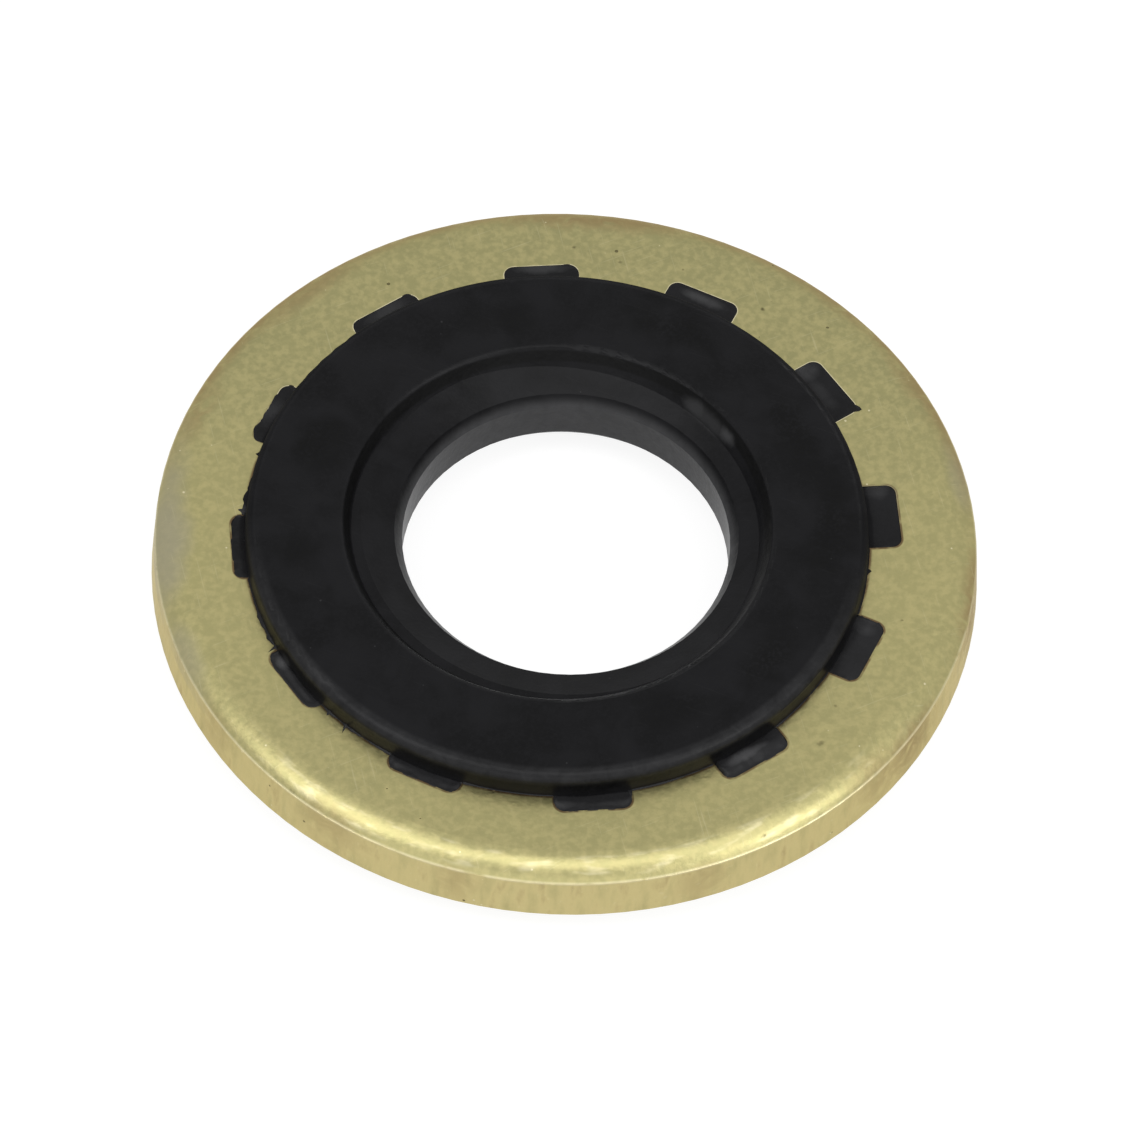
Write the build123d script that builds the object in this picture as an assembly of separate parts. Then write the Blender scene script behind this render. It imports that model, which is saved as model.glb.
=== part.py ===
"""Bonded sealing washer: a stamped brass ring with a rubber seal moulded onto its toothed inner edge.

All lengths are in millimetres and all angles in degrees. Z runs along the axis of the ring, and
z = 0 is the plane that the lower bead rests on. The ring and the bore share one axis. The beads
are round about an axis of their own beside it, because the ring sits loosely in the mould.
"""

import os
from math import radians, tan

from build123d import *

# Radial sizes, added up from the bore outwards. They give an outside diameter of 24 mm.
bore_diameter = 9.5
lip_width = 1.2
bead_width = 3.07
bead_lap = 0.62
ring_width = 3.6

# Heights.
metal_thickness = 2.0
bead_height = 0.78
lip_root_thickness = 2.7
lip_edge_thickness = 1.7
key_recess = 0.08

# Toothed inner edge of the ring.
notch_count = 12
notch_width = 2.2
notch_depth = 1.26
notch_corner_radius = 0.3
first_notch_angle = 7.2

# Outer edge of the ring: the rolled side of the blank, its sheared wall and its lower edge.
roll_width = 0.86
roll_depth = 0.4
wall_taper = 0.1
lower_edge_chamfer = 0.2

# Beads and lip.
bead_offset_x = -0.27
bead_offset_y = -0.17
inner_wall_draft = 35.0
outer_wall_draft = 5.0
inner_crown_radius = 0.22
outer_crown_radius = 0.3
bore_edge_chamfer = 0.25

# Radii and heights that follow from the sizes above.
bore_radius = bore_diameter / 2
bead_inner_foot = bore_radius + lip_width
bead_outer_foot = bead_inner_foot + bead_width
tooth_radius = bead_outer_foot - bead_lap
notch_radius = tooth_radius + notch_depth
ring_radius = tooth_radius + ring_width
metal_half = metal_thickness / 2
lip_root_half = lip_root_thickness / 2
lip_edge_half = lip_edge_thickness / 2
crown_half = metal_half + bead_height
key_half = metal_half - key_recess


def ring_section():
    """Half section of the ring, from the tooth ends out to the sheared wall."""
    roll_start = (ring_radius - wall_taper - roll_width, metal_half)
    wall_top = (ring_radius - wall_taper, metal_half - roll_depth)
    with BuildSketch(Plane.XZ) as section:
        with BuildLine():
            Line((tooth_radius, metal_half), roll_start)
            TangentArc(roll_start, wall_top, tangent=(1, 0))
            Polyline(
                wall_top,
                (ring_radius, lower_edge_chamfer - metal_half),
                (ring_radius - lower_edge_chamfer, -metal_half),
                (tooth_radius, -metal_half),
                (tooth_radius, metal_half),
            )
        make_face()
    return section.sketch


def notch_outlines():
    """Plan of all the notches: slots that open towards the bore, with rounded outer corners."""
    reach = notch_depth + bead_lap
    with BuildSketch() as outlines:
        with PolarLocations(notch_radius - reach / 2, notch_count, first_notch_angle):
            Rectangle(reach, notch_width)
        outer_corners = [
            corner for corner in outlines.vertices() if corner.center().length > notch_radius
        ]
        fillet(outer_corners, notch_corner_radius)
    return outlines.sketch


def corner_at(section, radius, height):
    """The corner of a half section that lies at this radius and height."""
    return section.vertices().sort_by_distance((radius, height, 0))[0]


def lip_section():
    """Half section of the lip, from the mid-plane up. Its outer end is inside the bead."""
    lip_end = bead_inner_foot + bead_width / 2
    with BuildSketch(Plane.XZ) as section:
        with BuildLine():
            Polyline(
                (bore_radius, 0),
                (bore_radius, lip_edge_half),
                (bead_inner_foot, lip_root_half),
                (lip_end, lip_root_half),
                (lip_end, 0),
                close=True,
            )
        make_face()
        chamfer(corner_at(section, bore_radius, lip_edge_half), bore_edge_chamfer)
    return section.sketch


def bead_section():
    """Half section of the upper bead, from the mid-plane up. Its inner wall ends inside the lip."""
    inner_slope = tan(radians(inner_wall_draft))
    wall_start = bead_inner_foot - (lip_root_half - lip_edge_half) * inner_slope
    inner_edge = bead_inner_foot + (crown_half - lip_root_half) * inner_slope
    outer_edge = bead_outer_foot - bead_height * tan(radians(outer_wall_draft))
    with BuildSketch(Plane.XZ) as section:
        with BuildLine():
            Polyline(
                (wall_start, 0),
                (wall_start, lip_edge_half),
                (inner_edge, crown_half),
                (outer_edge, crown_half),
                (bead_outer_foot, metal_half),
                (bead_outer_foot, 0),
                close=True,
            )
        make_face()
        fillet(corner_at(section, inner_edge, crown_half), inner_crown_radius)
        fillet(corner_at(section, outer_edge, crown_half), outer_crown_radius)
    return section.sketch


def make_metal_ring():
    """Stamped ring: one revolved blank with the notches punched out of its inner edge."""
    blank = revolve(ring_section(), axis=Axis.Z)
    return blank - extrude(notch_outlines(), amount=metal_thickness, both=True)


def both_sides(section):
    """Turns a half section about Z and adds its mirror image below the mid-plane."""
    upper = revolve(section, axis=Axis.Z)
    return upper + mirror(upper, Plane.XY)


def make_rubber_seal(metal_ring):
    """Moulded seal: beads, lip and the keys that fill the notches, all in one piece."""
    beads = Pos(bead_offset_x, bead_offset_y) * both_sides(bead_section())
    keys = extrude(notch_outlines(), amount=key_half, both=True)
    return beads + both_sides(lip_section()) + keys - metal_ring


metal_ring = make_metal_ring()
rubber_seal = make_rubber_seal(metal_ring)

os.makedirs("parts", exist_ok=True)
for name, piece in {"metal_ring": metal_ring, "rubber_seal": rubber_seal}.items():
    export_step(Pos(0, 0, crown_half) * piece, f"parts/{name}.step")
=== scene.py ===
"""Bonded sealing washer: the finishes of its brass ring and rubber seal, its moulding marks and a studio.

Laid out as an add-on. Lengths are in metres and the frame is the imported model's: the washer's axis
is Z, and the lower bead rests on z = 0.
"""

from math import cos, pi, radians, sin, tau

import bpy
from bpy.props import FloatProperty, FloatVectorProperty, PointerProperty
from bpy.types import Operator, Panel, PropertyGroup
from mathutils import Matrix, Vector, noise


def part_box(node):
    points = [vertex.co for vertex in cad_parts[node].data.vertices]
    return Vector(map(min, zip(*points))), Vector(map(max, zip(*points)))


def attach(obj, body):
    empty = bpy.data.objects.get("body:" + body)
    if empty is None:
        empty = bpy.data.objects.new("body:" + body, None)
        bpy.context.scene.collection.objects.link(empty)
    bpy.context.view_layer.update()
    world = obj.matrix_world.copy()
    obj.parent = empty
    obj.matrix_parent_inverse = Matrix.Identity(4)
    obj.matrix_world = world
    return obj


bl_info = {
    "name": "Bonded Sealing Washer",
    "version": (1, 0, 0),
    "blender": (4, 5, 0),
    "location": "View3D > Sidebar > Washer",
    "description": "Finishes a brass and rubber sealing washer and lights it",
    "category": "Object",
}

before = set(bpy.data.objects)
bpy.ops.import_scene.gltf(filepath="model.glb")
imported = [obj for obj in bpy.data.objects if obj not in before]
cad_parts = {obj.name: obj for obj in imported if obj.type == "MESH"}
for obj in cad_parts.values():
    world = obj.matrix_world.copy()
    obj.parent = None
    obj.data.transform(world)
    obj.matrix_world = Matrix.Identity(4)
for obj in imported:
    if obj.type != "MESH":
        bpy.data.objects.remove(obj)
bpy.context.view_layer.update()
MM = 0.001

RING_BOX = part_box("metal_ring")
SEAL_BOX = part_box("rubber_seal")
RING_RADIUS = RING_BOX[1].x
METAL_TOP = RING_BOX[1].z
METAL_BOTTOM = RING_BOX[0].z
MIDDLE = (METAL_TOP + METAL_BOTTOM) / 2
BEAD_TOP = SEAL_BOX[1].z

# The seal's twelve keys fill notches in the ring. The beads are round about an axis of their own.
KEY_COUNT = 12
FIRST_KEY = radians(7.2)
KEY_HALF_WIDTH = 1.1 * MM
KEY_REACH = 9.66 * MM
KEY_CORNER = 0.3 * MM
KEY_RECESS = 0.08 * MM
BEAD_AXIS = Vector((-0.27 * MM, -0.17 * MM, 0))
BEAD_FOOT = 9.02 * MM
BORE_RADIUS = 4.75 * MM
LIP_ROOT = 3.13 * MM
CREASE_HEIGHT = METAL_TOP - 0.4 * MM
CREASE_RADIUS = RING_RADIUS - 0.1 * MM


def colour_setting(name, description, value):
    """A colour that the user can change."""
    return FloatVectorProperty(
        name=name,
        description=description,
        subtype="COLOR",
        size=3,
        min=0.0,
        max=1.0,
        default=value,
    )


def length_setting(name, description, value):
    """A length that the user can change."""
    return FloatProperty(name=name, description=description, subtype="DISTANCE", default=value)


class RingFinish(PropertyGroup):
    """Colours and wear of the brass."""

    brass: colour_setting("Brass", "Colour of the clean sheet", (0.348, 0.318, 0.146))
    # Also painted shade: the whole back half is blended halfway to this colour.
    tarnish_and_back_shade: colour_setting("Tarnish", "Dulled, greener patches and back", (0.262, 0.248, 0.120))
    # Also a painted reflection: the wall is brightened as if it mirrored the white floor.
    sheared_and_floor_reflection: colour_setting("Sheared edge", "Brighter brass: wall and speckles", (0.545, 0.465, 0.225))
    # Also painted shade: darkens the rim at the back.
    stain: colour_setting("Stain", "Brown stain along the rim and beside the rubber", (0.26, 0.185, 0.09))
    # Also painted shade: a dark line along the notch edges at the front.
    glue_and_notch_shade: colour_setting("Glue", "Dark red-brown bonding agent beside the rubber", (0.085, 0.043, 0.024))
    haze: colour_setting("Haze", "Greyish haze on the rim", (0.300, 0.280, 0.205))
    pit: colour_setting("Pit", "Dark dirt in the pits and nicks", (0.07, 0.06, 0.03))
    grain_size: length_setting("Grain size", "Size of the mottling left by rolling the sheet", 0.19 * MM)


class SealFinish(PropertyGroup):
    """Colours of the moulded rubber, and the size of its moulding marks."""

    rubber: colour_setting("Rubber", "Colour of the rubber", (0.0010, 0.0010, 0.0014))
    bloom: colour_setting("Bloom", "Colour of the greyish bloom", (0.0058, 0.0058, 0.0068))
    # Painted shade: darkens the sink dents and the bead's inner wall.
    shade: colour_setting("Shade", "Sunk patches and the bead's inner wall", (0.0004, 0.0004, 0.0005))
    # Also used for the painted highlights and painted light on the bead's front edge and the key tops.
    dust: colour_setting("Dust", "Colour of dust, scuffs and the scuffed bore", (0.060, 0.060, 0.062))
    grain_size: length_setting("Grain size", "Size of the grain left by the mould", 0.10 * MM)
    swell: length_setting("Key swell", "Swelling that each key has its own share of", 0.12 * MM)
    flash: length_setting("Flash width", "Usual width of the thin flash round the beads", 0.05 * MM)


class StudioSettings(PropertyGroup):
    """Camera and light."""

    elevation: FloatProperty(
        name="Elevation",
        description="Height of the view above the horizon",
        subtype="ANGLE",
        default=radians(54.76),
    )
    roll: FloatProperty(
        name="Roll",
        description="Turn of the view about its own axis",
        subtype="ANGLE",
        default=radians(-3.17),
    )
    distance: FloatProperty(
        name="Distance",
        description="From the camera to the middle of the washer",
        subtype="DISTANCE",
        default=232.0 * MM,
    )
    lens: FloatProperty(
        name="Lens",
        description="Focal length in millimetres",
        default=253.97,
    )


def add_node(tree, kind, inputs=None, **settings):
    """Adds a shader node, sets its properties, and fills or links its inputs by name or index."""
    node = tree.nodes.new(kind)
    for name, value in settings.items():
        setattr(node, name, value)
    for name, value in (inputs or {}).items():
        if isinstance(value, bpy.types.NodeSocket):
            tree.links.new(value, node.inputs[name])
        else:
            node.inputs[name].default_value = value
    return node


def math_node(tree, operation, *values, clamp=False):
    """A Math node's output."""
    inputs = dict(enumerate(values))
    return add_node(tree, "ShaderNodeMath", inputs, operation=operation, use_clamp=clamp).outputs[0]


def blend(tree, factor, first, second):
    """A colour mix's output."""
    inputs = {"Factor": factor, 6: first, 7: second}
    return add_node(tree, "ShaderNodeMix", inputs, data_type="RGBA").outputs[2]


def ramp(tree, value, low, high):
    """The value mapped from low..high onto 0..1, smoothly and clamped."""
    inputs = {"Value": value, "From Min": low, "From Max": high}
    node = add_node(tree, "ShaderNodeMapRange", inputs, interpolation_type="SMOOTHSTEP")
    return node.outputs["Result"]


def invert(tree, value):
    """1 less the value."""
    return math_node(tree, "SUBTRACT", 1.0, value)


def new_group(name, inputs, outputs):
    """An empty shader node group with these sockets: (name, type, default) in, (name, type) out."""
    group = bpy.data.node_groups.new(name, "ShaderNodeTree")
    for socket_name, kind, default in inputs:
        socket = group.interface.new_socket(socket_name, in_out="INPUT", socket_type=kind)
        if default is not None:
            socket.default_value = default
    for socket_name, kind in outputs:
        group.interface.new_socket(socket_name, in_out="OUTPUT", socket_type=kind)
    return group, add_node(group, "NodeGroupInput"), add_node(group, "NodeGroupOutput")


FLOAT = "NodeSocketFloat"
VECTOR = "NodeSocketVector"


def ring_position_group():
    """Where a point lies round the washer, and how far outside a notch and the bead's foot it is."""
    group, start, end = new_group(
        "Ring Position",
        [("Position", VECTOR, None)],
        [(name, FLOAT) for name in ("Radius", "Angle", "Height", "From Notch", "From Bead")],
    )
    x, y, z = add_node(group, "ShaderNodeSeparateXYZ", {0: start.outputs["Position"]}).outputs
    radius = flat_length(group, start.outputs["Position"], Vector((0, 0, 0)))
    angle = math_node(group, "ARCTAN2", y, x)
    step = tau / KEY_COUNT
    turned = math_node(group, "SUBTRACT", angle, FIRST_KEY)
    aside = math_node(group, "PINGPONG", math_node(group, "ADD", turned, 2 * tau), step / 2)
    along = math_node(group, "MULTIPLY", radius, math_node(group, "COSINE", aside))
    across = math_node(group, "MULTIPLY", radius, math_node(group, "SINE", aside))
    beyond = math_node(group, "SUBTRACT", along, KEY_REACH - KEY_CORNER)
    beside = math_node(group, "SUBTRACT", across, KEY_HALF_WIDTH - KEY_CORNER)
    corner = add_node(
        group,
        "ShaderNodeCombineXYZ",
        {"X": math_node(group, "MAXIMUM", beyond, 0.0), "Y": math_node(group, "MAXIMUM", beside, 0.0)},
    )
    outside = add_node(group, "ShaderNodeVectorMath", {0: corner.outputs[0]}, operation="LENGTH")
    within = math_node(group, "MINIMUM", math_node(group, "MAXIMUM", beyond, beside), 0.0)
    from_notch = math_node(group, "ADD", outside.outputs["Value"], within)
    from_bead = flat_length(group, start.outputs["Position"], BEAD_AXIS)
    values = {
        "Radius": radius,
        "Angle": angle,
        "Height": z,
        "From Notch": math_node(group, "SUBTRACT", from_notch, KEY_CORNER),
        "From Bead": math_node(group, "SUBTRACT", from_bead, BEAD_FOOT),
    }
    for name, value in values.items():
        group.links.new(value, end.inputs[name])
    return group


def flat_length(tree, position, centre):
    """Distance of a point from the upright line through centre."""
    moved = add_node(tree, "ShaderNodeVectorMath", {0: position, 1: centre}, operation="SUBTRACT")
    flat = add_node(
        tree,
        "ShaderNodeVectorMath",
        {0: moved.outputs[0], 1: (1.0, 1.0, 0.0)},
        operation="MULTIPLY",
    )
    length = add_node(tree, "ShaderNodeVectorMath", {0: flat.outputs[0]}, operation="LENGTH")
    return length.outputs["Value"]


def grain_group():
    """Fine grain, blotches and broad clouds, each about 0.5 on average."""
    group, start, end = new_group(
        "Grain",
        [("Position", VECTOR, None), ("Size", FLOAT, 0.001)],
        [("Fine", FLOAT), ("Blotch", FLOAT), ("Broad", FLOAT)],
    )
    per_metre = math_node(group, "DIVIDE", 1.0, start.outputs["Size"])
    for name, share, twist in (("Fine", 1.0, 0.0), ("Blotch", 0.3, 0.6), ("Broad", 0.07, 0.4)):
        scale = math_node(group, "MULTIPLY", per_metre, share)
        inputs = {"Vector": start.outputs["Position"], "Scale": scale, "Detail": 3.0, "Distortion": twist}
        texture = add_node(group, "ShaderNodeTexNoise", inputs)
        group.links.new(texture.outputs["Fac"], end.inputs[name])
    return group


def specks_group():
    """Scattered small spots. Amount is the share of cells that hold one."""
    group, start, end = new_group(
        "Specks",
        [("Position", VECTOR, None), ("Size", FLOAT, 0.001), ("Amount", FLOAT, 0.1)],
        [("Mask", FLOAT)],
    )
    per_metre = math_node(group, "DIVIDE", 0.33, start.outputs["Size"])
    wobble = add_node(
        group,
        "ShaderNodeTexNoise",
        {"Vector": start.outputs["Position"], "Scale": math_node(group, "MULTIPLY", per_metre, 3.0)},
    )
    cells = add_node(
        group,
        "ShaderNodeTexVoronoi",
        {"Vector": start.outputs["Position"], "Scale": per_metre},
    )
    draw = add_node(group, "ShaderNodeSeparateColor", {0: cells.outputs["Color"]})
    held = math_node(group, "LESS_THAN", draw.outputs[0], start.outputs["Amount"])
    reach = math_node(group, "MULTIPLY_ADD", draw.outputs[1], 0.16, 0.05)
    ragged = math_node(group, "MULTIPLY_ADD", wobble.outputs["Fac"], 0.12, cells.outputs["Distance"])
    near = math_node(group, "SUBTRACT", math_node(group, "ADD", reach, 0.06), ragged)
    spot = ramp(group, near, 0.0, 0.06)
    group.links.new(math_node(group, "MULTIPLY", spot, held), end.inputs["Mask"])
    return group


def local_mark_group():
    """One soft-edged, uneven oval mark at a given place. Its half sizes are in metres."""
    group, start, end = new_group(
        "Local Mark",
        [
            ("Position", VECTOR, None),
            ("Centre", VECTOR, None),
            ("Size", VECTOR, None),
            ("Turn", FLOAT, 0.0),
            ("Unevenness", FLOAT, 0.5),
        ],
        [("Mask", FLOAT)],
    )
    moved = add_node(
        group,
        "ShaderNodeVectorMath",
        {0: start.outputs["Position"], 1: start.outputs["Centre"]},
        operation="SUBTRACT",
    )
    turned = add_node(
        group,
        "ShaderNodeVectorRotate",
        {"Vector": moved.outputs[0], "Angle": math_node(group, "MULTIPLY", start.outputs["Turn"], -1.0)},
        rotation_type="Z_AXIS",
    )
    scaled = add_node(
        group,
        "ShaderNodeVectorMath",
        {0: turned.outputs[0], 1: start.outputs["Size"]},
        operation="DIVIDE",
    )
    reach = add_node(group, "ShaderNodeVectorMath", {0: scaled.outputs[0]}, operation="LENGTH")
    uneven = math_node(group, "MULTIPLY_ADD", start.outputs["Unevenness"], 1.6, reach.outputs["Value"])
    group.links.new(invert(group, ramp(group, uneven, 0.9, 1.8)), end.inputs["Mask"])
    return group


def scratches_group():
    """Faint straight scratches in one direction, thin and interrupted."""
    group, start, end = new_group(
        "Scratches",
        [("Position", VECTOR, None), ("Turn", FLOAT, 0.0), ("Width", FLOAT, 0.0001)],
        [("Mask", FLOAT)],
    )
    turned = add_node(
        group,
        "ShaderNodeVectorRotate",
        {"Vector": start.outputs["Position"], "Angle": start.outputs["Turn"]},
        rotation_type="Z_AXIS",
    )
    stretched = add_node(
        group,
        "ShaderNodeVectorMath",
        {0: turned.outputs[0], 1: (0.03, 1.0, 0.2)},
        operation="MULTIPLY",
    )
    per_metre = math_node(group, "DIVIDE", 1.0, start.outputs["Width"])
    texture = add_node(
        group,
        "ShaderNodeTexNoise",
        {"Vector": stretched.outputs[0], "Scale": per_metre, "Detail": 1.0},
    )
    group.links.new(ramp(group, texture.outputs["Fac"], 0.69, 0.78), end.inputs["Mask"])
    return group


GROUPS = {
    "Ring Position": ring_position_group,
    "Grain": grain_group,
    "Specks": specks_group,
    "Local Mark": local_mark_group,
    "Scratches": scratches_group,
}


def place_group(tree, name, **inputs):
    """Places a shared node group in a tree, building it on first use. Returns its outputs."""
    group = bpy.data.node_groups.get(name) or GROUPS[name]()
    return add_node(tree, "ShaderNodeGroup", inputs, node_tree=group).outputs


def new_material(name):
    """A material with an empty tree, its Principled shader and the object's own coordinates."""
    material = bpy.data.materials.new(name)
    material.use_nodes = True
    tree = material.node_tree
    tree.nodes.clear()
    shader = add_node(tree, "ShaderNodeBsdfPrincipled")
    add_node(tree, "ShaderNodeOutputMaterial", {"Surface": shader.outputs[0]})
    position = add_node(tree, "ShaderNodeTexCoord").outputs["Object"]
    return material, tree, shader, position


def band(tree, value, low, high, soft):
    """1 between low and high, falling smoothly to 0 over soft on each side."""
    rise = ramp(tree, value, low - soft, low)
    fall = ramp(tree, value, high, high + soft)
    return math_node(tree, "SUBTRACT", rise, fall, clamp=True)


def ring_noise(tree, angle, per_radian, other, per_metre, detail):
    """Noise laid round the ring: stretched by the angle and by one other measure."""
    place = add_node(
        tree,
        "ShaderNodeCombineXYZ",
        {
            "X": math_node(tree, "MULTIPLY", angle, per_radian),
            "Y": math_node(tree, "MULTIPLY", other, per_metre),
        },
    ).outputs[0]
    inputs = {"Vector": place, "Scale": 1.0, "Detail": detail}
    return add_node(tree, "ShaderNodeTexNoise", inputs).outputs[0]


def behind(tree, position, low, high):
    """0 in front of low, 1 behind high, measured along Y."""
    y = add_node(tree, "ShaderNodeSeparateXYZ", {0: position}).outputs[1]
    return ramp(tree, y, low, high)


def roughness(tree, value, low, high):
    """Roughness from low to high over the value."""
    inputs = {"Value": value, "To Min": low, "To Max": high}
    return add_node(tree, "ShaderNodeMapRange", inputs).outputs[0]


def marks_mask(tree, position, marks, height, depth, unevenness):
    """All the marks of a table together: x, y, half length, half width in mm, turn in degrees, weight."""
    total = None
    for x, y, length, width, turn, weight in marks:
        mask = place_group(
            tree,
            "Local Mark",
            Position=position,
            Centre=(x * MM, y * MM, height),
            Size=(length * MM, width * MM, depth),
            Turn=radians(turn),
            Unevenness=unevenness,
        )["Mask"]
        mask = math_node(tree, "MULTIPLY", mask, weight)
        total = math_node(tree, "MAXIMUM", total, mask) if total else mask
    return total


# Marks on the brass: x, y, half length, half width in mm, turn in degrees, weight.
BRASS_NICKS = (
    (11.75, -5.45, 0.22, 0.10, 60, 1.0),
    (9.77, -2.48, 0.08, 0.06, 20, 0.6),
    (7.54, -6.87, 0.16, 0.12, 30, 0.55),
    (7.94, -5.58, 0.07, 0.07, 0, 0.5),
    (6.05, -10.00, 0.12, 0.07, 40, 0.7),
    (-7.34, -9.30, 0.14, 0.06, -40, 0.7),
    (1.12, 9.89, 0.10, 0.07, 10, 0.6),
    (5.41, 8.43, 0.09, 0.08, 0, 0.8),
    (-0.26, 10.34, 0.09, 0.08, 0, 0.6),
    (3.01, 9.74, 0.07, 0.07, 0, 0.6),
)
BRASS_STAINS = (
    (10.1, 5.9, 2.6, 0.7, 122, 0.75),
    (7.4, 9.1, 2.4, 0.6, 140, 0.6),
    (-10.9, 3.6, 1.8, 0.6, 70, 0.6),
    (0.5, 11.5, 6.5, 0.75, 0, 1.0),
    (-7.9, 8.3, 3.6, 0.6, 46, 0.7),
    (9.2, -7.4, 1.6, 0.6, 45, 0.5),
    (-6.2, -10.1, 1.6, 0.45, -32, 0.45),
    (10.2, -6.2, 2.2, 0.5, 58, 0.75),
    (11.9, -1.2, 3.4, 0.6, 84, 1.0),
    (11.4, 3.4, 2.2, 0.5, 106, 0.8),
    (4.4, -11.2, 1.2, 0.35, 22, 0.5),
    (-2.6, -11.7, 1.0, 0.3, -12, 0.4),
    (-9.8, -7.0, 1.6, 0.4, -55, 0.4),
)
BRASS_HAZE = (
    (-11.5, -0.6, 5.0, 0.85, 90, 0.7),
    (-10.7, -4.8, 2.2, 0.5, 114, 0.45),
    (11.3, 2.6, 1.8, 0.45, 102, 0.35),
)
# Painted shade for the shallow dents where the rubber sank on cooling; they are also slightly smoother.
# Columns as for the brass.
RUBBER_SINKS = (
    (-7.43, 2.19, 1.5, 1.0, 70, 1.0),
    (-7.75, -1.81, 0.9, 0.8, 0, 0.8),
    (2.85, 6.91, 2.2, 1.0, -20, 1.0),
    (6.32, 3.73, 2.0, 1.1, -60, 1.0),
    (7.57, 0.08, 2.4, 1.0, 90, 1.0),
    (3.60, -6.37, 1.8, 0.9, 25, 0.8),
    (-2.2, 6.9, 1.4, 0.8, 15, 0.6),
    (5.9, -4.6, 2.0, 1.0, 50, 1.0),
)
# Painted highlights on the tops of the keys, and paler patches on the lip.
KEY_HIGHLIGHTS = (
    (-1.16, 9.50, 1.15, 0.26, 7, 0.66),
    (3.57, 8.72, 1.15, 0.28, -23, 0.85),
    (6.72, 6.20, 0.60, 0.70, -53, 0.65),
    (7.20, 5.55, 1.00, 0.40, -53, 0.35),
    (8.95, 2.00, 0.55, 0.60, 97, 0.45),
    (8.80, -2.85, 0.60, 0.60, 67, 0.50),
    (5.42, -7.45, 1.30, 0.24, 37, 1.00),
    (0.30, -9.50, 0.70, 0.30, 7, 0.45),
    (1.35, -9.56, 0.90, 0.20, 7, 0.35),
    (-2.95, -8.98, 0.60, 0.30, -23, 0.25),
    (-7.92, -5.18, 0.45, 0.26, -53, 0.80),
    (-7.15, -6.25, 1.00, 0.22, -53, 0.40),
    (-9.45, 0.10, 0.35, 0.25, -83, 0.70),
    (-8.80, 3.75, 0.90, 0.50, 67, 0.50),
    (-5.61, 7.56, 1.20, 0.45, 37, 0.60),
)
RUBBER_LIP_PATCHES = (
    (3.55, 4.40, 0.60, 0.20, -40, 0.5),
    (4.52, 3.45, 0.60, 0.20, -53, 0.8),
    (4.08, 3.90, 1.30, 0.22, -46, 0.4),
)

# Brass where it is rubbed bright, also the colour of the painted highlights, and its tint at a grazing
# angle.
WORN_BRASS_AND_HIGHLIGHTS = (0.68, 0.62, 0.41, 1.0)
GRAZING_TINT = (0.84, 0.78, 0.62, 1.0)


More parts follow.
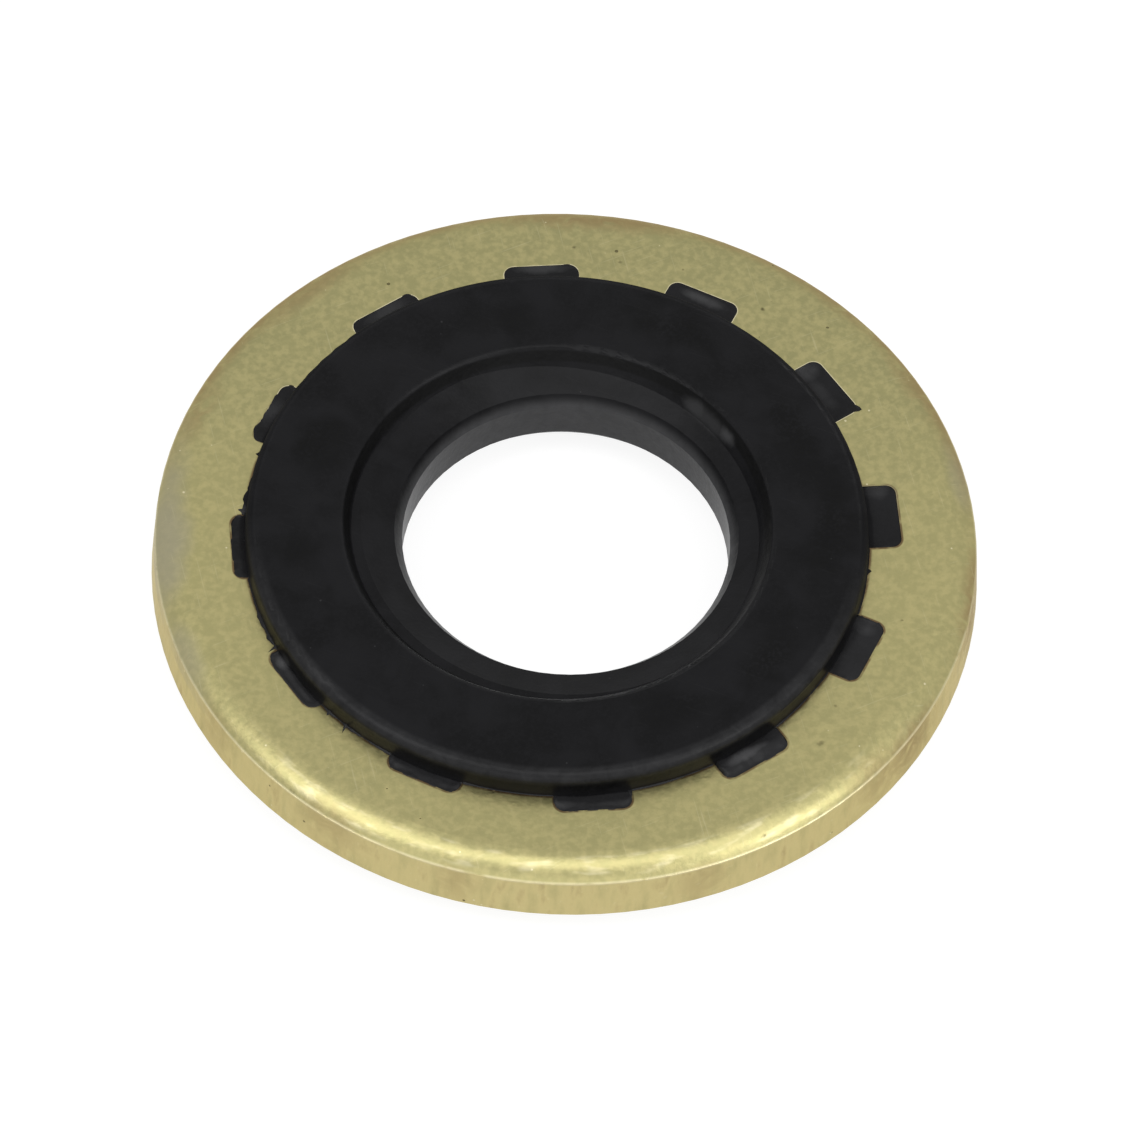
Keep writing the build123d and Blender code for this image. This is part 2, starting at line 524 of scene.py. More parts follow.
def brass_material(finish):
    """Rolled brass: mottled flats, stains, pits, scratches, a streaked wall, painted shade and painted
    highlights.
    """
    material, tree, shader, position = new_material("Stamped brass")
    place = place_group(tree, "Ring Position", Position=position)
    grain = place_group(tree, "Grain", Position=position, Size=finish.grain_size)
    pits = place_group(tree, "Specks", Position=position, Size=0.11 * MM, Amount=0.045)["Mask"]
    glints = place_group(tree, "Specks", Position=position, Size=0.075 * MM, Amount=0.05)["Mask"]
    rising = place_group(tree, "Scratches", Position=position, Turn=radians(-28), Width=0.045 * MM)["Mask"]
    falling = place_group(tree, "Scratches", Position=position, Turn=radians(74), Width=0.06 * MM)["Mask"]
    nicks = marks_mask(tree, position, BRASS_NICKS, METAL_TOP - 0.1 * MM, 0.5 * MM, grain["Fine"])
    stains = marks_mask(tree, position, BRASS_STAINS, MIDDLE + 0.4 * MM, 1.9 * MM, grain["Blotch"])
    scratches = math_node(tree, "MAXIMUM", rising, falling)

    wall = ramp(tree, place["Radius"], CREASE_RADIUS - 0.03 * MM, CREASE_RADIUS + 0.005 * MM)
    # Painted highlight: a bright line along the crease where the rolled rim meets the wall.
    crease = math_node(
        tree,
        "MULTIPLY",
        band(tree, place["Height"], CREASE_HEIGHT - 0.02 * MM, CREASE_HEIGHT + 0.02 * MM, 0.05 * MM),
        ramp(tree, place["Radius"], CREASE_RADIUS - 0.08 * MM, CREASE_RADIUS - 0.03 * MM),
    )
    streaks = ring_noise(tree, place["Angle"], 34.0, place["Height"], 700.0, 4.0)
    # Painted highlight: glints along the rolled rim, at the front only.
    near_rim = invert(tree, behind(tree, position, -10.2 * MM, -5.0 * MM))
    rim_glints = ring_noise(tree, place["Angle"], 12.0, place["Radius"], 3800.0, 2.0)
    rim_glints = math_node(tree, "MULTIPLY", ramp(tree, rim_glints, 0.5, 0.72), near_rim)
    roll = band(tree, place["Radius"], CREASE_RADIUS - 0.62 * MM, CREASE_RADIUS - 0.2 * MM, 0.14 * MM)
    upper = ramp(tree, place["Height"], MIDDLE, MIDDLE + 0.2 * MM)
    roll = math_node(tree, "MULTIPLY", roll, upper)
    rim_glints = math_node(tree, "MULTIPLY", rim_glints, roll)
    notch_edge = band(tree, place["From Notch"], 0.0, 0.012 * MM, 0.018 * MM)
    on_top = ramp(tree, place["Height"], METAL_TOP - 0.12 * MM, METAL_TOP - 0.06 * MM)
    back = behind(tree, position, 0.0, 6.0 * MM)
    by_notch = band(tree, place["From Notch"], 0.0, 0.03 * MM, 0.05 * MM)
    by_bead = band(tree, place["From Bead"], -1.0 * MM, 0.04 * MM, 0.08 * MM)
    # Bonding agent beside the bead's foot, and painted shade along the notch edges at the front.
    glue_and_notch_shade = math_node(
        tree,
        "MULTIPLY",
        math_node(tree, "MAXIMUM", math_node(tree, "MULTIPLY", by_notch, invert(tree, back)), by_bead),
        ramp(tree, grain["Blotch"], 0.25, 0.55),
    )

    clouds = math_node(tree, "MULTIPLY", grain["Broad"], 0.7)
    clouds = math_node(tree, "MULTIPLY_ADD", grain["Blotch"], 0.9, clouds)
    dull_and_back_shade = math_node(tree, "MULTIPLY", ramp(tree, clouds, 0.58, 1.05), 0.24)
    # Painted shade: the back half is blended halfway to the greener colour.
    dull_and_back_shade = math_node(tree, "MULTIPLY_ADD", back, 0.5, dull_and_back_shade, clamp=True)
    colour = blend(tree, dull_and_back_shade, (*finish.brass, 1), (*finish.tarnish_and_back_shade, 1))
    speckle = ramp(tree, grain["Fine"], 0.35, 0.7)
    colour = blend(tree, math_node(tree, "MULTIPLY", speckle, 0.27), colour, (*finish.sheared_and_floor_reflection, 1))
    # The wall: streaked shear marks, brightened as a painted reflection of the white floor.
    sheared_and_floor_reflection = math_node(tree, "MULTIPLY", wall, ramp(tree, streaks, 0.0, 0.62))
    colour = blend(tree, sheared_and_floor_reflection, colour, (*finish.sheared_and_floor_reflection, 1))
    wall_stain = math_node(tree, "MULTIPLY", wall, ramp(tree, streaks, 0.52, 0.8))
    rim = ramp(tree, place["Radius"], CREASE_RADIUS - 0.6 * MM, CREASE_RADIUS)
    # Painted shade: the rim at the back is darkened with the stain colour, along with the real stains.
    far_rim_shade = math_node(tree, "MULTIPLY", back, rim)
    stains_and_rim_shade = math_node(tree, "MAXIMUM", stains, math_node(tree, "MULTIPLY", wall_stain, 0.5))
    stains_and_rim_shade = math_node(tree, "MAXIMUM", stains_and_rim_shade, math_node(tree, "MULTIPLY", far_rim_shade, 0.85))
    stains_and_rim_shade = math_node(tree, "MULTIPLY", stains_and_rim_shade, ramp(tree, grain["Blotch"], 0.2, 0.6))
    haze = marks_mask(tree, position, BRASS_HAZE, MIDDLE + 0.4 * MM, 1.9 * MM, grain["Broad"])
    colour = blend(tree, stains_and_rim_shade, colour, (*finish.stain, 1))
    haze = math_node(tree, "MULTIPLY", haze, upper)
    colour = blend(tree, haze, colour, (*finish.haze, 1))
    colour = blend(tree, math_node(tree, "MULTIPLY", glue_and_notch_shade, 0.85), colour, (*finish.glue_and_notch_shade, 1))
    # Painted highlights: the notch edges at the back, the crease, the rim glints and the tiny glints. Real
    # wear: the scratches.
    wear_and_painted_highlights = math_node(tree, "MULTIPLY", math_node(tree, "MULTIPLY", notch_edge, on_top), back)
    wear_and_painted_highlights = math_node(tree, "MAXIMUM", wear_and_painted_highlights, math_node(tree, "MULTIPLY", crease, 0.5))
    wear_and_painted_highlights = math_node(tree, "MULTIPLY", wear_and_painted_highlights, ramp(tree, grain["Blotch"], 0.26, 0.5))
    wear_and_painted_highlights = math_node(tree, "MAXIMUM", wear_and_painted_highlights, math_node(tree, "MULTIPLY", rim_glints, 0.45))
    wear_and_painted_highlights = math_node(tree, "MAXIMUM", wear_and_painted_highlights, math_node(tree, "MULTIPLY", scratches, 0.16))
    wear_and_painted_highlights = math_node(tree, "MAXIMUM", wear_and_painted_highlights, math_node(tree, "MULTIPLY", glints, 0.8))
    colour = blend(tree, math_node(tree, "MULTIPLY", wear_and_painted_highlights, 0.85), colour, WORN_BRASS_AND_HIGHLIGHTS)
    dirt = math_node(tree, "MAXIMUM", nicks, math_node(tree, "MULTIPLY", pits, 0.75))
    colour = blend(tree, dirt, colour, (*finish.pit, 1))
    tree.links.new(colour, shader.inputs["Base Color"])

    shader.inputs["Metallic"].default_value = 1.0
    shader.inputs["Specular Tint"].default_value = GRAZING_TINT
    rough = roughness(tree, grain["Fine"], 0.26, 0.44)
    rough = math_node(tree, "MULTIPLY_ADD", stains_and_rim_shade, 0.12, rough)
    rough = math_node(tree, "MULTIPLY_ADD", dirt, 0.25, rough, clamp=True)
    tree.links.new(rough, shader.inputs["Roughness"])

    height = math_node(tree, "MULTIPLY_ADD", grain["Blotch"], 1.5, grain["Fine"])
    height = math_node(tree, "MULTIPLY_ADD", pits, -1.2, height)
    height = math_node(tree, "MULTIPLY_ADD", math_node(tree, "MULTIPLY", wall, streaks), 1.2, height)
    bump = add_node(tree, "ShaderNodeBump", {"Strength": 1.0, "Distance": 0.007 * MM, "Height": height})
    tree.links.new(bump.outputs[0], shader.inputs["Normal"])
    return material


def rubber_material(finish):
    """Moulded black rubber: fine grain, bloom, dust, painted shade and highlights, and a paler bore and
    lip.
    """
    material, tree, shader, position = new_material("Moulded rubber")
    place = place_group(tree, "Ring Position", Position=position)
    grain = place_group(tree, "Grain", Position=position, Size=finish.grain_size)
    dust = place_group(tree, "Specks", Position=position, Size=0.06 * MM, Amount=0.02)["Mask"]
    sinks = marks_mask(tree, position, RUBBER_SINKS, BEAD_TOP, 0.5 * MM, grain["Broad"])
    sinks = math_node(tree, "MULTIPLY", sinks, ramp(tree, grain["Fine"], 0.36, 0.56))
    hazy = math_node(tree, "MULTIPLY", grain["Broad"], 0.75)
    hazy = math_node(tree, "MULTIPLY_ADD", grain["Blotch"], 0.25, hazy)
    lip_patches = marks_mask(tree, position, RUBBER_LIP_PATCHES, LIP_ROOT, 0.5 * MM, hazy)
    scratches = place_group(tree, "Scratches", Position=position, Turn=radians(20), Width=0.05 * MM)["Mask"]

    bloom = ramp(tree, grain["Broad"], 0.3, 0.7)
    colour = blend(tree, bloom, (*finish.rubber, 1), (*finish.bloom, 1))
    speckle = math_node(tree, "MULTIPLY_ADD", grain["Blotch"], 0.5, grain["Fine"])
    speckle = ramp(tree, speckle, 0.65, 1.0)
    colour = blend(tree, math_node(tree, "MULTIPLY", speckle, 0.5), colour, (*finish.bloom, 1))
    # Painted shade on the bead's inner wall, above the lip.
    inner_wall_shade = math_node(
        tree,
        "MULTIPLY",
        band(tree, place["Height"], LIP_ROOT + 0.09 * MM, BEAD_TOP - 0.14 * MM, 0.07 * MM),
        math_node(tree, "LESS_THAN", place["From Bead"], -2.0 * MM),
    )
    # Painted shade on the sink dents and on the bead's inner wall.
    shaded = math_node(tree, "MAXIMUM", math_node(tree, "MULTIPLY", sinks, 0.9), inner_wall_shade)
    colour = blend(tree, shaded, colour, (*finish.shade, 1))
    # Paler towards the bore.
    bore = invert(tree, ramp(tree, place["Radius"], BORE_RADIUS, BORE_RADIUS + 0.22 * MM))
    paler_bore = math_node(tree, "MULTIPLY_ADD", grain["Blotch"], 0.5, 0.55)
    paler_bore = math_node(tree, "MULTIPLY", bore, paler_bore)
    # Painted highlight: the dust colour along the bead's rounded outer edge, at the front only.
    shoulder = math_node(
        tree,
        "MULTIPLY",
        band(tree, place["From Bead"], -0.34 * MM, -0.08 * MM, 0.16 * MM),
        ramp(tree, place["Height"], METAL_TOP + 0.35 * MM, METAL_TOP + 0.6 * MM),
    )
    front = invert(tree, behind(tree, position, -6.0 * MM, 0.0))
    uneven_front = math_node(tree, "MULTIPLY", front, grain["Blotch"])
    shoulder = math_node(tree, "MULTIPLY", shoulder, uneven_front)
    shoulder = math_node(tree, "MULTIPLY", shoulder, 0.4)
    key_painted_light = marks_mask(tree, position, KEY_HIGHLIGHTS, METAL_TOP, 0.4 * MM, hazy)
    # Painted light: every key top is lifted a little, the front ones more, against the shade of the bead's
    # wall.
    on_key = math_node(
        tree,
        "MULTIPLY",
        ramp(tree, place["From Bead"], -0.05 * MM, 0.05 * MM),
        math_node(tree, "MULTIPLY_ADD", front, 0.18, 0.09),
    )
    key_painted_light = math_node(tree, "MAXIMUM", key_painted_light, on_key)
    # Paler places: the lip patches, the bore, the painted highlights and light, dust specks and scratches.
    pale = math_node(tree, "MAXIMUM", lip_patches, paler_bore)
    pale = math_node(tree, "MAXIMUM", pale, math_node(tree, "MAXIMUM", shoulder, key_painted_light))
    pale = math_node(tree, "MAXIMUM", pale, math_node(tree, "MULTIPLY", dust, 0.35))
    pale = math_node(tree, "MAXIMUM", pale, math_node(tree, "MULTIPLY", scratches, 0.06))
    colour = blend(tree, pale, colour, (*finish.dust, 1))
    tree.links.new(colour, shader.inputs["Base Color"])

    shader.inputs["Specular IOR Level"].default_value = 0.12
    rough = roughness(tree, grain["Fine"], 0.28, 0.44)
    far_edge = band(tree, place["From Bead"], -0.2 * MM, 0.1 * MM, 0.12 * MM)
    far_edge = math_node(tree, "MULTIPLY", far_edge, behind(tree, position, -4.0 * MM, 0.0))
    rough = math_node(tree, "MULTIPLY_ADD", sinks, -0.08, rough)
    rough = math_node(tree, "MULTIPLY_ADD", far_edge, 0.45, rough, clamp=True)
    tree.links.new(rough, shader.inputs["Roughness"])

    height = math_node(tree, "MULTIPLY_ADD", grain["Blotch"], 1.5, grain["Fine"])
    height = math_node(tree, "MULTIPLY_ADD", grain["Broad"], 5.0, height)
    bump = add_node(tree, "ShaderNodeBump", {"Strength": 1.0, "Distance": 0.005 * MM, "Height": height})
    tree.links.new(bump.outputs[0], shader.inputs["Normal"])
    return material


class WASHER_OT_finish_ring(Operator):
    """Gives the ring its brass"""

    bl_idname = "washer.finish_ring"
    bl_label = "Finish Ring"

    def execute(self, context):
        material = brass_material(context.scene.washer_ring)
        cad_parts["metal_ring"].material_slots[0].material = material
        return {"FINISHED"}


class WASHER_OT_finish_seal(Operator):
    """Gives the seal its rubber"""

    bl_idname = "washer.finish_seal"
    bl_label = "Finish Seal"

    def execute(self, context):
        material = bpy.data.materials.get("Moulded rubber") or rubber_material(context.scene.washer_seal)
        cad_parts["rubber_seal"].material_slots[0].material = material
        return {"FINISHED"}


# Each key's top, anticlockwise from the first notch: its share of the swell, where its crest lies from the
# outer edge in mm, how far it spills over the brass in mm, how ragged that is in mm, its tilt along the
# edge from -1 to 1, and how far its outer edge is drawn up to the brass from 0 to 1.
KEY_TOPS = (
    (0.35, 0.60, -0.01, 0.02, 0.6, 0.7),
    (0.30, 0.60, -0.01, 0.02, 0.5, 1.0),
    (0.20, 0.60, -0.01, 0.02, 0.2, 1.0),
    (0.20, 0.60, 0.00, 0.05, 0.0, 1.0),
    (0.20, 0.60, 0.00, 0.07, 0.2, 1.0),
    (0.30, 0.50, 0.01, 0.08, 0.3, 0.9),
    (0.35, 0.28, 0.02, 0.05, -0.3, 0.5),
    (0.90, 0.34, 0.02, 0.05, -0.5, 0.3),
    (0.55, 0.30, 0.01, 0.05, 0.0, 0.3),
    (0.60, 0.32, 0.01, 0.03, 0.0, 0.3),
    (1.15, 0.40, 0.01, 0.03, -0.3, 0.3),
    (0.60, 0.60, 0.00, 0.03, 0.6, 0.5),
)
# Shares of the way from the bead's foot to the notch's edge. The last two are the spilt edge.
KEY_SHARES = (0.0, 0.14, 0.28, 0.42, 0.54, 0.65, 0.75, 0.83, 0.90, 0.95, 0.98, 1.0, 1.1, 1.2)
# One key has one outer corner drawn out to a point this long.
POINTED_KEY = 1
POINTED_CORNER = 0.20 * MM
# The underside's seed: added to each key's own, and the flash's as it is.
UNDER_SEED = 100.0


def smooth(value, low, high):
    """0 below low, 1 above high and smooth between."""
    share = min(max((value - low) / (high - low), 0.0), 1.0)
    return share * share * (3 - 2 * share)


def notch_outline(inner_end):
    """Outline of a notch, along and across its own axis, with the way out at each point."""
    half, corner = KEY_HALF_WIDTH, KEY_CORNER
    side = [(inner_end + (KEY_REACH - corner - inner_end) * i / 12, -half, 0, -1) for i in range(12)]
    turns = [radians(-90 + 90 * i / 8) for i in range(9)]
    arc = [
        (KEY_REACH - corner + corner * cos(a), corner - half + corner * sin(a), cos(a), sin(a))
        for a in turns
    ]
    edge = [(KEY_REACH, (half - corner) * (i / 12 - 1), 1, 0) for i in range(1, 13)]
    near_half = side + arc + edge
    return near_half + [(u, -v, nu, -nv) for u, v, nu, nv in reversed(near_half[:-1])]


def key_top_rows(index, top, swell, seed, pointed):
    """Rows of points over one key, from under the bead's foot out to the spilt edge."""
    turn = FIRST_KEY + index * tau / KEY_COUNT
    along, across = Vector((cos(turn), sin(turn), 0)), Vector((-sin(turn), cos(turn), 0))
    inner_end = BEAD_FOOT + BEAD_AXIS.dot(along) - 0.12 * MM
    rise, ridge, spill, ragged, tilt, drawn = top
    sunk = METAL_TOP - KEY_RECESS + 0.004 * MM
    brim = METAL_TOP - (0.045 - 0.041 * drawn) * MM
    rows = []
    outline = notch_outline(inner_end)
    for share in KEY_SHARES:
        row = []
        for u, v, out_u, out_v in outline:
            rag = noise.noise(Vector((u / (0.34 * MM), v / (0.34 * MM), seed)))
            rag += 0.35 * noise.noise(Vector((u / (0.13 * MM), v / (0.13 * MM), seed + 1)))
            over = (spill + ragged * rag) * MM
            if pointed:
                over += POINTED_CORNER * max(0.0, -2 * out_u * out_v) ** 5
            held = smooth(over, 0, 0.02 * MM)
            edge_height = brim + (METAL_TOP + 0.006 * MM - brim) * held
            start_v = v * 0.9
            if share <= 1.0:
                pu, pv = inner_end + (u - inner_end) * share, start_v + (v - start_v) * share
                inside = Vector((u - pu, v - pv)).length
                lump = noise.noise(Vector((pu / (0.45 * MM), pv / (0.45 * MM), seed + 7)))
                in_from_edge = KEY_REACH - pu
                crest = smooth(in_from_edge, 0, ridge * MM)
                crest *= 1 - 0.55 * smooth(in_from_edge, ridge * MM, 2.4 * ridge * MM)
                swollen = crest * smooth(inside, 0, 0.24 * MM)
                slant = 1 + tilt * pv / KEY_HALF_WIDTH
                fine = noise.noise(Vector((pu / (0.13 * MM), pv / (0.13 * MM), seed + 3)))
                height = edge_height + swell * rise * swollen * slant * (1 + 0.6 * lump)
                height += 0.012 * MM * fine * smooth(inside, 0, 0.1 * MM)
                height -= (edge_height - sunk) * smooth(inside, 0, (0.3 + 0.25 * drawn) * MM)
            else:
                last = share == KEY_SHARES[-1]
                reach = max(over, 0.0) + (0.002 * MM if last else 0.0)
                pu, pv = u + out_u * reach, v + out_v * reach
                height = edge_height - (0.02 if last else 0.003) * MM
            point = along * pu + across * pv
            row.append(Vector((point.x, point.y, height)))
        rows.append(row)
    return rows


def skin(rows, looped, first):
    """Quads between neighbouring rows, numbered from first."""
    count = len(rows[0])
    faces = []
    for r in range(len(rows) - 1):
        for i in range(count if looped else count - 1):
            j = (i + 1) % count
            a, b = first + r * count + i, first + r * count + j
            faces.append((a, a + count, b + count, b))
    return faces


def flip_under(point):
    """The same point on the underside."""
    return Vector((point.x, point.y, METAL_TOP + METAL_BOTTOM - point.z))


def add_rubber_piece(name, points, faces):
    """A smooth rubber piece that belongs to the seal."""
    mesh = bpy.data.meshes.new(name)
    mesh.from_pydata(points, [], faces)
    mesh.validate()
    mesh.shade_smooth()
    piece = bpy.data.objects.new(name, mesh)
    bpy.context.scene.collection.objects.link(piece)
    settings = bpy.context.scene.washer_seal
    mesh.materials.append(bpy.data.materials.get("Moulded rubber") or rubber_material(settings))
    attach(piece, "root")


class WASHER_OT_swell_keys(Operator):
    """Gives each key the uneven, swollen top that the moulding leaves, on both faces"""

    bl_idname = "washer.swell_keys"
    bl_label = "Swell Keys"

    def execute(self, context):
        swell = context.scene.washer_seal.swell
        for name, under in (("key_tops", False), ("key_undersides", True)):
            points, faces = [], []
            for index, top in enumerate(KEY_TOPS):
                if under:
                    # The same tops in another order.
                    top = KEY_TOPS[(index * 5 + 3) % KEY_COUNT]
                seed = index * 3.7 + (UNDER_SEED if under else 0)
                rows = key_top_rows(index, top, swell, seed, index == POINTED_KEY and not under)
                quads = skin(rows, False, len(points))
                faces += [quad[::-1] for quad in quads] if under else quads
                flat = [point for row in rows for point in row]
                points += [flip_under(point) for point in flat] if under else flat
            add_rubber_piece(name, points, faces)
        return {"FINISHED"}


# Hairs of torn flash: turn about the bead's axis in degrees, length and half width in mm, lean in mm.
HAIRS = (
    (-150.5, 0.26, 0.045, 0.08),
    (-147.6, 0.15, 0.06, -0.06),
    (-133.2, 0.12, 0.05, 0.06),
    (-129.0, 0.24, 0.045, 0.10),
    (178.4, 0.14, 0.06, -0.06),
    (165.3, 0.12, 0.07, 0.02),
    (152.0, 0.10, 0.08, 0.04),
    (-4.2, 0.10, 0.10, 0.03),
)
# Stretches of wider, torn flash: middle and half extent in degrees, and how many times the usual width.
TORN = ((172, 22, 3.2), (-150, 12, 3.0), (-125, 12, 2.0), (135, 20, 1.6))


def flash_width(turn, usual, seed):
    """Width of the flash at this turn about the bead's axis."""
    coarse = noise.noise(Vector((cos(turn) * 6, sin(turn) * 6, seed)))
    fine = noise.noise(Vector((cos(turn) * 21, sin(turn) * 21, seed + 5)))
    fine += 0.5 * noise.noise(Vector((cos(turn) * 60, sin(turn) * 60, seed + 9)))
    width = usual * (0.5 + 0.7 * coarse + 0.3 * fine)
    for middle, extent, times in TORN:
        away = abs((turn - radians(middle) + pi) % tau - pi)
        torn = 1 - smooth(away, radians(extent) * 0.5, radians(extent))
        width += usual * times * torn * max(0.0, 0.25 + 0.7 * coarse + 0.6 * fine)
    return max(width, 0.006 * MM)


FLASH_POINTS = 1440
FLASH_THICKNESS = 0.05 * MM
TOP_SEED = 2.0


def flash_rows(usual, seed):
    """Rows of points of the thin flash round one bead, from the bead's wall out onto the brass.

    Only the upper flash has torn hairs.
    """
    rows = [[], [], [], []]
    for i in range(FLASH_POINTS):
        turn = tau * i / FLASH_POINTS
        width = flash_width(turn, usual, seed)
        lean = 0.0
        if seed == TOP_SEED:
            for middle, length, half, shift in HAIRS:
                away = abs((turn - radians(middle) + pi) % tau - pi) * BEAD_FOOT
                peak = max(0.0, 1 - away / (half * MM))
                width += length * MM * peak
                lean += shift * MM * peak
        direction = Vector((cos(turn), sin(turn), 0))
        sideways = Vector((-sin(turn), cos(turn), 0))
        foot = BEAD_AXIS + direction * BEAD_FOOT
        angle = (foot.xy.angle_signed(Vector((1, 0))) - FIRST_KEY) % (tau / KEY_COUNT)
        aside = min(angle, tau / KEY_COUNT - angle) * foot.length
        on_key = 1 - smooth(aside, KEY_HALF_WIDTH - 0.04 * MM, KEY_HALF_WIDTH + 0.02 * MM)
        width *= 1 - on_key
        ground = METAL_TOP - KEY_RECESS * on_key
        thick = min(FLASH_THICKNESS, 0.5 * width)
        section = (
            (-0.03 * MM, 0.02 * MM + thick),
            (0.4 * width, 0.7 * thick),
            (width, 0.004 * MM),
            (width, -0.02 * MM),
        )
        for row, (share, lift) in zip(rows, section):
            point = foot + direction * share + sideways * lean * smooth(share, 0.2 * width, width + 1e-9)
            row.append(Vector((point.x, point.y, ground + lift)))
    return rows


class WASHER_OT_add_flash(Operator):
    """Adds the thin torn flash where the rubber crept out over the brass, on both faces"""

    bl_idname = "washer.add_flash"
    bl_label = "Add Flash"

    def execute(self, context):
        usual = context.scene.washer_seal.flash
        for name, under in (("flash_top", False), ("flash_underside", True)):
            rows = flash_rows(usual, UNDER_SEED if under else TOP_SEED)
            quads = skin(rows, True, 0)
            faces = [quad[::-1] for quad in quads] if under else quads
            flat = [point for row in rows for point in row]
            points = [flip_under(point) for point in flat] if under else flat
            add_rubber_piece(name, points, faces)
        return {"FINISHED"}


# Name, size in metres, angle from the zenith and turn about it in degrees (-90 is the front), strength.
SOFTBOXES = (
    ("Softbox above", (0.60, 0.28), 9, -90, 2.05),
    ("Softbox left", (0.26, 0.24), 38, -155, 3.0),
    ("Softbox right", (0.30, 0.26), 48, -30, 3.4),
    ("Softbox front", (0.90, 0.30), 62, -90, 0.9),
)
LAMP_DISTANCE = 0.6
# The eye sees a floor of SHADOW_GREY that glows by PAPER_GLOW, and a white room. Light from the floor and
# the room is that of PAPER and ROOM_GREY.
FLOOR_HALF_SIDE = 1.5
PAPER = (0.8, 0.8, 0.8, 1)
SHADOW_GREY = (0.22, 0.22, 0.22, 1)
PAPER_GLOW = 0.88
ROOM_GREY = (0.35, 0.35, 0.35, 1)
WHITE = (1, 1, 1, 1)
SENSOR_WIDTH = 36.0
# Where the washer's middle lies from the middle of the view: to the right and up.
VIEW_OFFSET = (-0.042 * MM, 0.455 * MM)


def add_softbox(name, size, height, turn, strength):
    """A rectangular area lamp that faces the washer, placed by its zenith angle and its turn.

    strength is the radiance of the lamp's face, where 1 is a white surface in plain light.
    """
    data = bpy.data.lights.new(name, "AREA")
    data.shape = "RECTANGLE"
    data.size, data.size_y = size
    data.energy = strength * pi * size[0] * size[1]
    lamp = bpy.data.objects.new(name, data)
    zenith, turn = radians(height), radians(turn)
    direction = Vector((sin(zenith) * cos(turn), sin(zenith) * sin(turn), cos(zenith)))
    lamp.location = LAMP_DISTANCE * direction
    lamp.rotation_euler = direction.to_track_quat("Z", "Y").to_euler()
    bpy.context.scene.collection.objects.link(lamp)


def add_camera(settings):
    """The camera, placed by the view's elevation, roll and distance from the ring's middle."""
    data = bpy.data.cameras.new("Camera")
    data.lens = settings.lens
    data.sensor_width = SENSOR_WIDTH
    data.clip_start, data.clip_end = 0.01, 20.0
    camera = bpy.data.objects.new("Camera", data)
    bpy.context.scene.collection.objects.link(camera)
    e, r = settings.elevation, settings.roll
    forward = Vector((0, cos(e), -sin(e)))
    level_right = Vector((1, 0, 0))
    level_up = level_right.cross(forward)
    right = level_right * cos(r) - level_up * sin(r)
    up = level_right * sin(r) + level_up * cos(r)
    middle = Vector((0, 0, MIDDLE))
    offset = VIEW_OFFSET[0] * right + VIEW_OFFSET[1] * up
    camera.matrix_world = Matrix.Translation(
        middle - offset - settings.distance * forward
    ) @ Matrix((right, up, -forward)).transposed().to_4x4()
    bpy.context.scene.camera = camera


class WASHER_OT_build_studio(Operator):
    """Adds the floor, the lamps, the world and the camera"""

    bl_idname = "washer.build_studio"
    bl_label = "Build Studio"

    def execute(self, context):
        settings = context.scene.washer_studio
        build_floor()
        build_world(context.scene)
        for name, size, height, turn, strength in SOFTBOXES:
            add_softbox(name, size, height, turn, strength)
        add_camera(settings)
        context.scene.view_settings.view_transform = "Standard"
        return {"FINISHED"}


def seen_white(tree):
    """1 for the rays that see the background: from the camera, in a gloss and through glass."""
    path = add_node(tree, "ShaderNodeLightPath")
    glossy, clear = path.outputs["Is Glossy Ray"], path.outputs["Is Transmission Ray"]
    mirrored = math_node(tree, "MAXIMUM", glossy, clear)
    return math_node(tree, "MAXIMUM", path.outputs["Is Camera Ray"], mirrored)


def build_floor():
    """A pale floor. The eye sees white paper that holds a soft shadow, and sees through it from below."""
    mesh = bpy.data.meshes.new("Floor")
    side = FLOOR_HALF_SIDE
    corners = [(-side, -side, 0), (side, -side, 0), (side, side, 0), (-side, side, 0)]
    mesh.from_pydata(corners, [], [(0, 1, 2, 3)])
    floor = bpy.data.objects.new("Floor", mesh)
    bpy.context.scene.collection.objects.link(floor)
    material = bpy.data.materials.new("White paper")
    material.use_nodes = True
    tree = material.node_tree
    tree.nodes.clear()
    paper = add_node(tree, "ShaderNodeBsdfDiffuse", {"Color": PAPER})
    shade = add_node(tree, "ShaderNodeBsdfDiffuse", {"Color": SHADOW_GREY})
    glow = add_node(tree, "ShaderNodeEmission", {"Color": WHITE, "Strength": PAPER_GLOW})
    both = add_node(tree, "ShaderNodeAddShader", {0: shade.outputs[0], 1: glow.outputs[0]})
    shaders = {0: seen_white(tree), 1: paper.outputs[0], 2: both.outputs[0]}
    mix = add_node(tree, "ShaderNodeMixShader", shaders)
    clear = add_node(tree, "ShaderNodeBsdfTransparent")
    below = add_node(tree, "ShaderNodeNewGeometry").outputs["Backfacing"]
    seen = add_node(tree, "ShaderNodeMixShader", {0: below, 1: mix.outputs[0], 2: clear.outputs[0]})
    add_node(tree, "ShaderNodeOutputMaterial", {"Surface": seen.outputs[0]})
    mesh.materials.append(material)


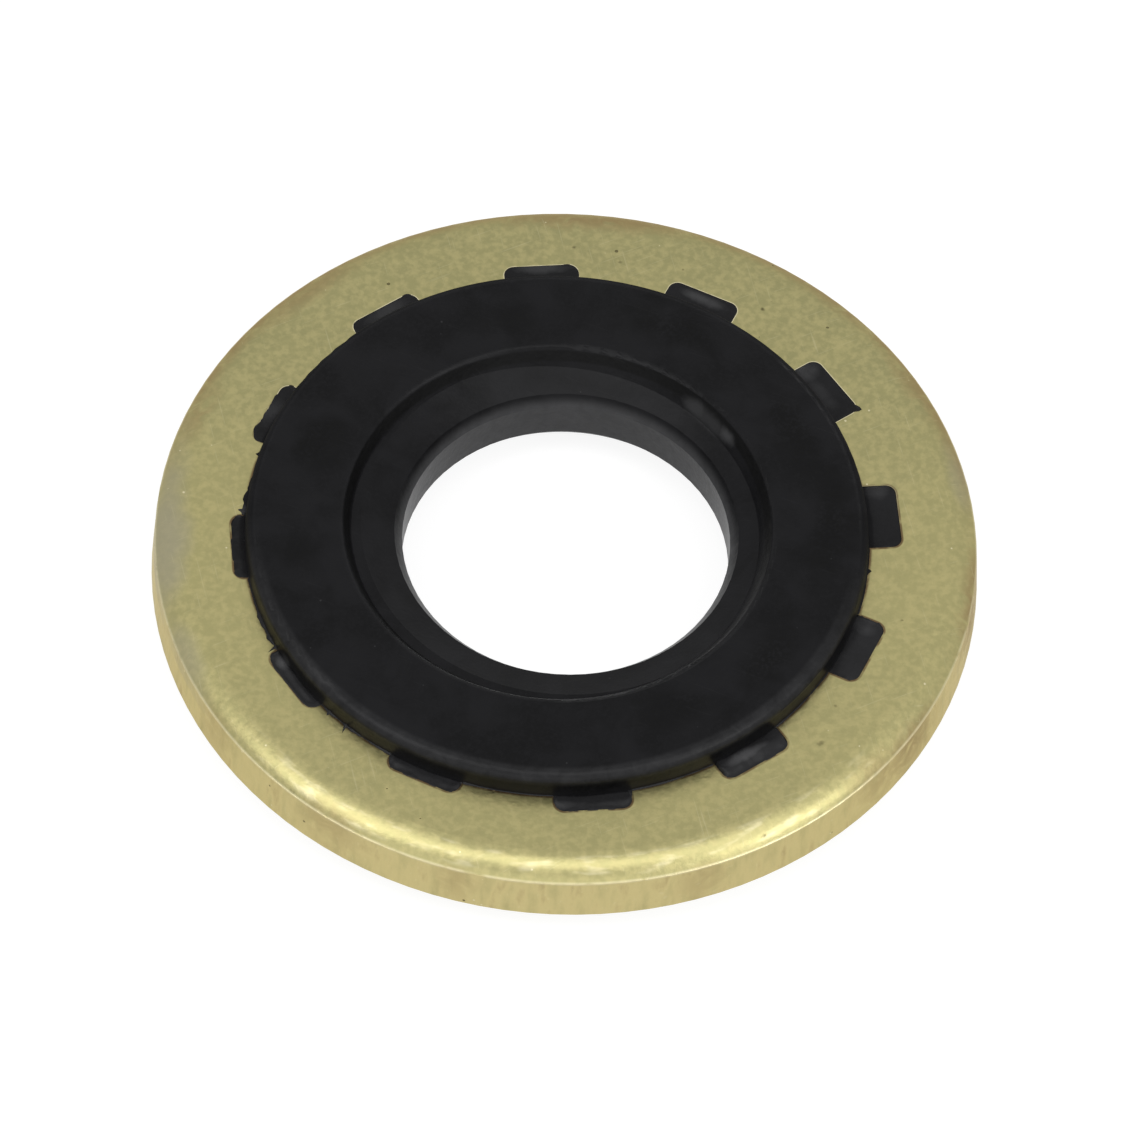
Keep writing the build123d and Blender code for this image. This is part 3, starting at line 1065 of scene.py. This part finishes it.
def build_world(scene):
    """A plain grey room that the eye sees as white."""
    world = bpy.data.worlds.new("Studio")
    world.use_nodes = True
    tree = world.node_tree
    tree.nodes.clear()
    room = add_node(tree, "ShaderNodeBackground", {"Color": ROOM_GREY, "Strength": 1.0})
    white = add_node(tree, "ShaderNodeBackground", {"Color": WHITE, "Strength": 1.0})
    shaders = {0: seen_white(tree), 1: room.outputs[0], 2: white.outputs[0]}
    mix = add_node(tree, "ShaderNodeMixShader", shaders)
    add_node(tree, "ShaderNodeOutputWorld", {"Surface": mix.outputs[0]})
    scene.world = world


class WASHER_PT_panel(Panel):
    """Lists the washer's sizes, colours and steps"""

    bl_label = "Washer"
    bl_idname = "WASHER_PT_panel"
    bl_space_type = "VIEW_3D"
    bl_region_type = "UI"
    bl_category = "Washer"

    def draw(self, context):
        for settings, operators in STEPS:
            box = self.layout.box()
            group = getattr(context.scene, settings)
            for name in group.__annotations__:
                box.prop(group, name)
            for operator in operators:
                box.operator(operator)


STEPS = (
    ("washer_ring", ("washer.finish_ring",)),
    ("washer_seal", ("washer.finish_seal", "washer.swell_keys", "washer.add_flash")),
    ("washer_studio", ("washer.build_studio",)),
)
SETTINGS = {"washer_ring": RingFinish, "washer_seal": SealFinish, "washer_studio": StudioSettings}
CLASSES = (
    *SETTINGS.values(),
    WASHER_OT_finish_ring,
    WASHER_OT_finish_seal,
    WASHER_OT_swell_keys,
    WASHER_OT_add_flash,
    WASHER_OT_build_studio,
    WASHER_PT_panel,
)


def register():
    for cls in CLASSES:
        bpy.utils.register_class(cls)
    for name, cls in SETTINGS.items():
        setattr(bpy.types.Scene, name, PointerProperty(type=cls))


def unregister():
    for name in SETTINGS:
        delattr(bpy.types.Scene, name)
    for cls in reversed(CLASSES):
        bpy.utils.unregister_class(cls)


def main():
    """Runs every step in order."""
    register()
    bpy.ops.washer.finish_ring()
    bpy.ops.washer.finish_seal()
    bpy.ops.washer.swell_keys()
    bpy.ops.washer.add_flash()
    bpy.ops.washer.build_studio()


if __name__ == "__main__":
    main()
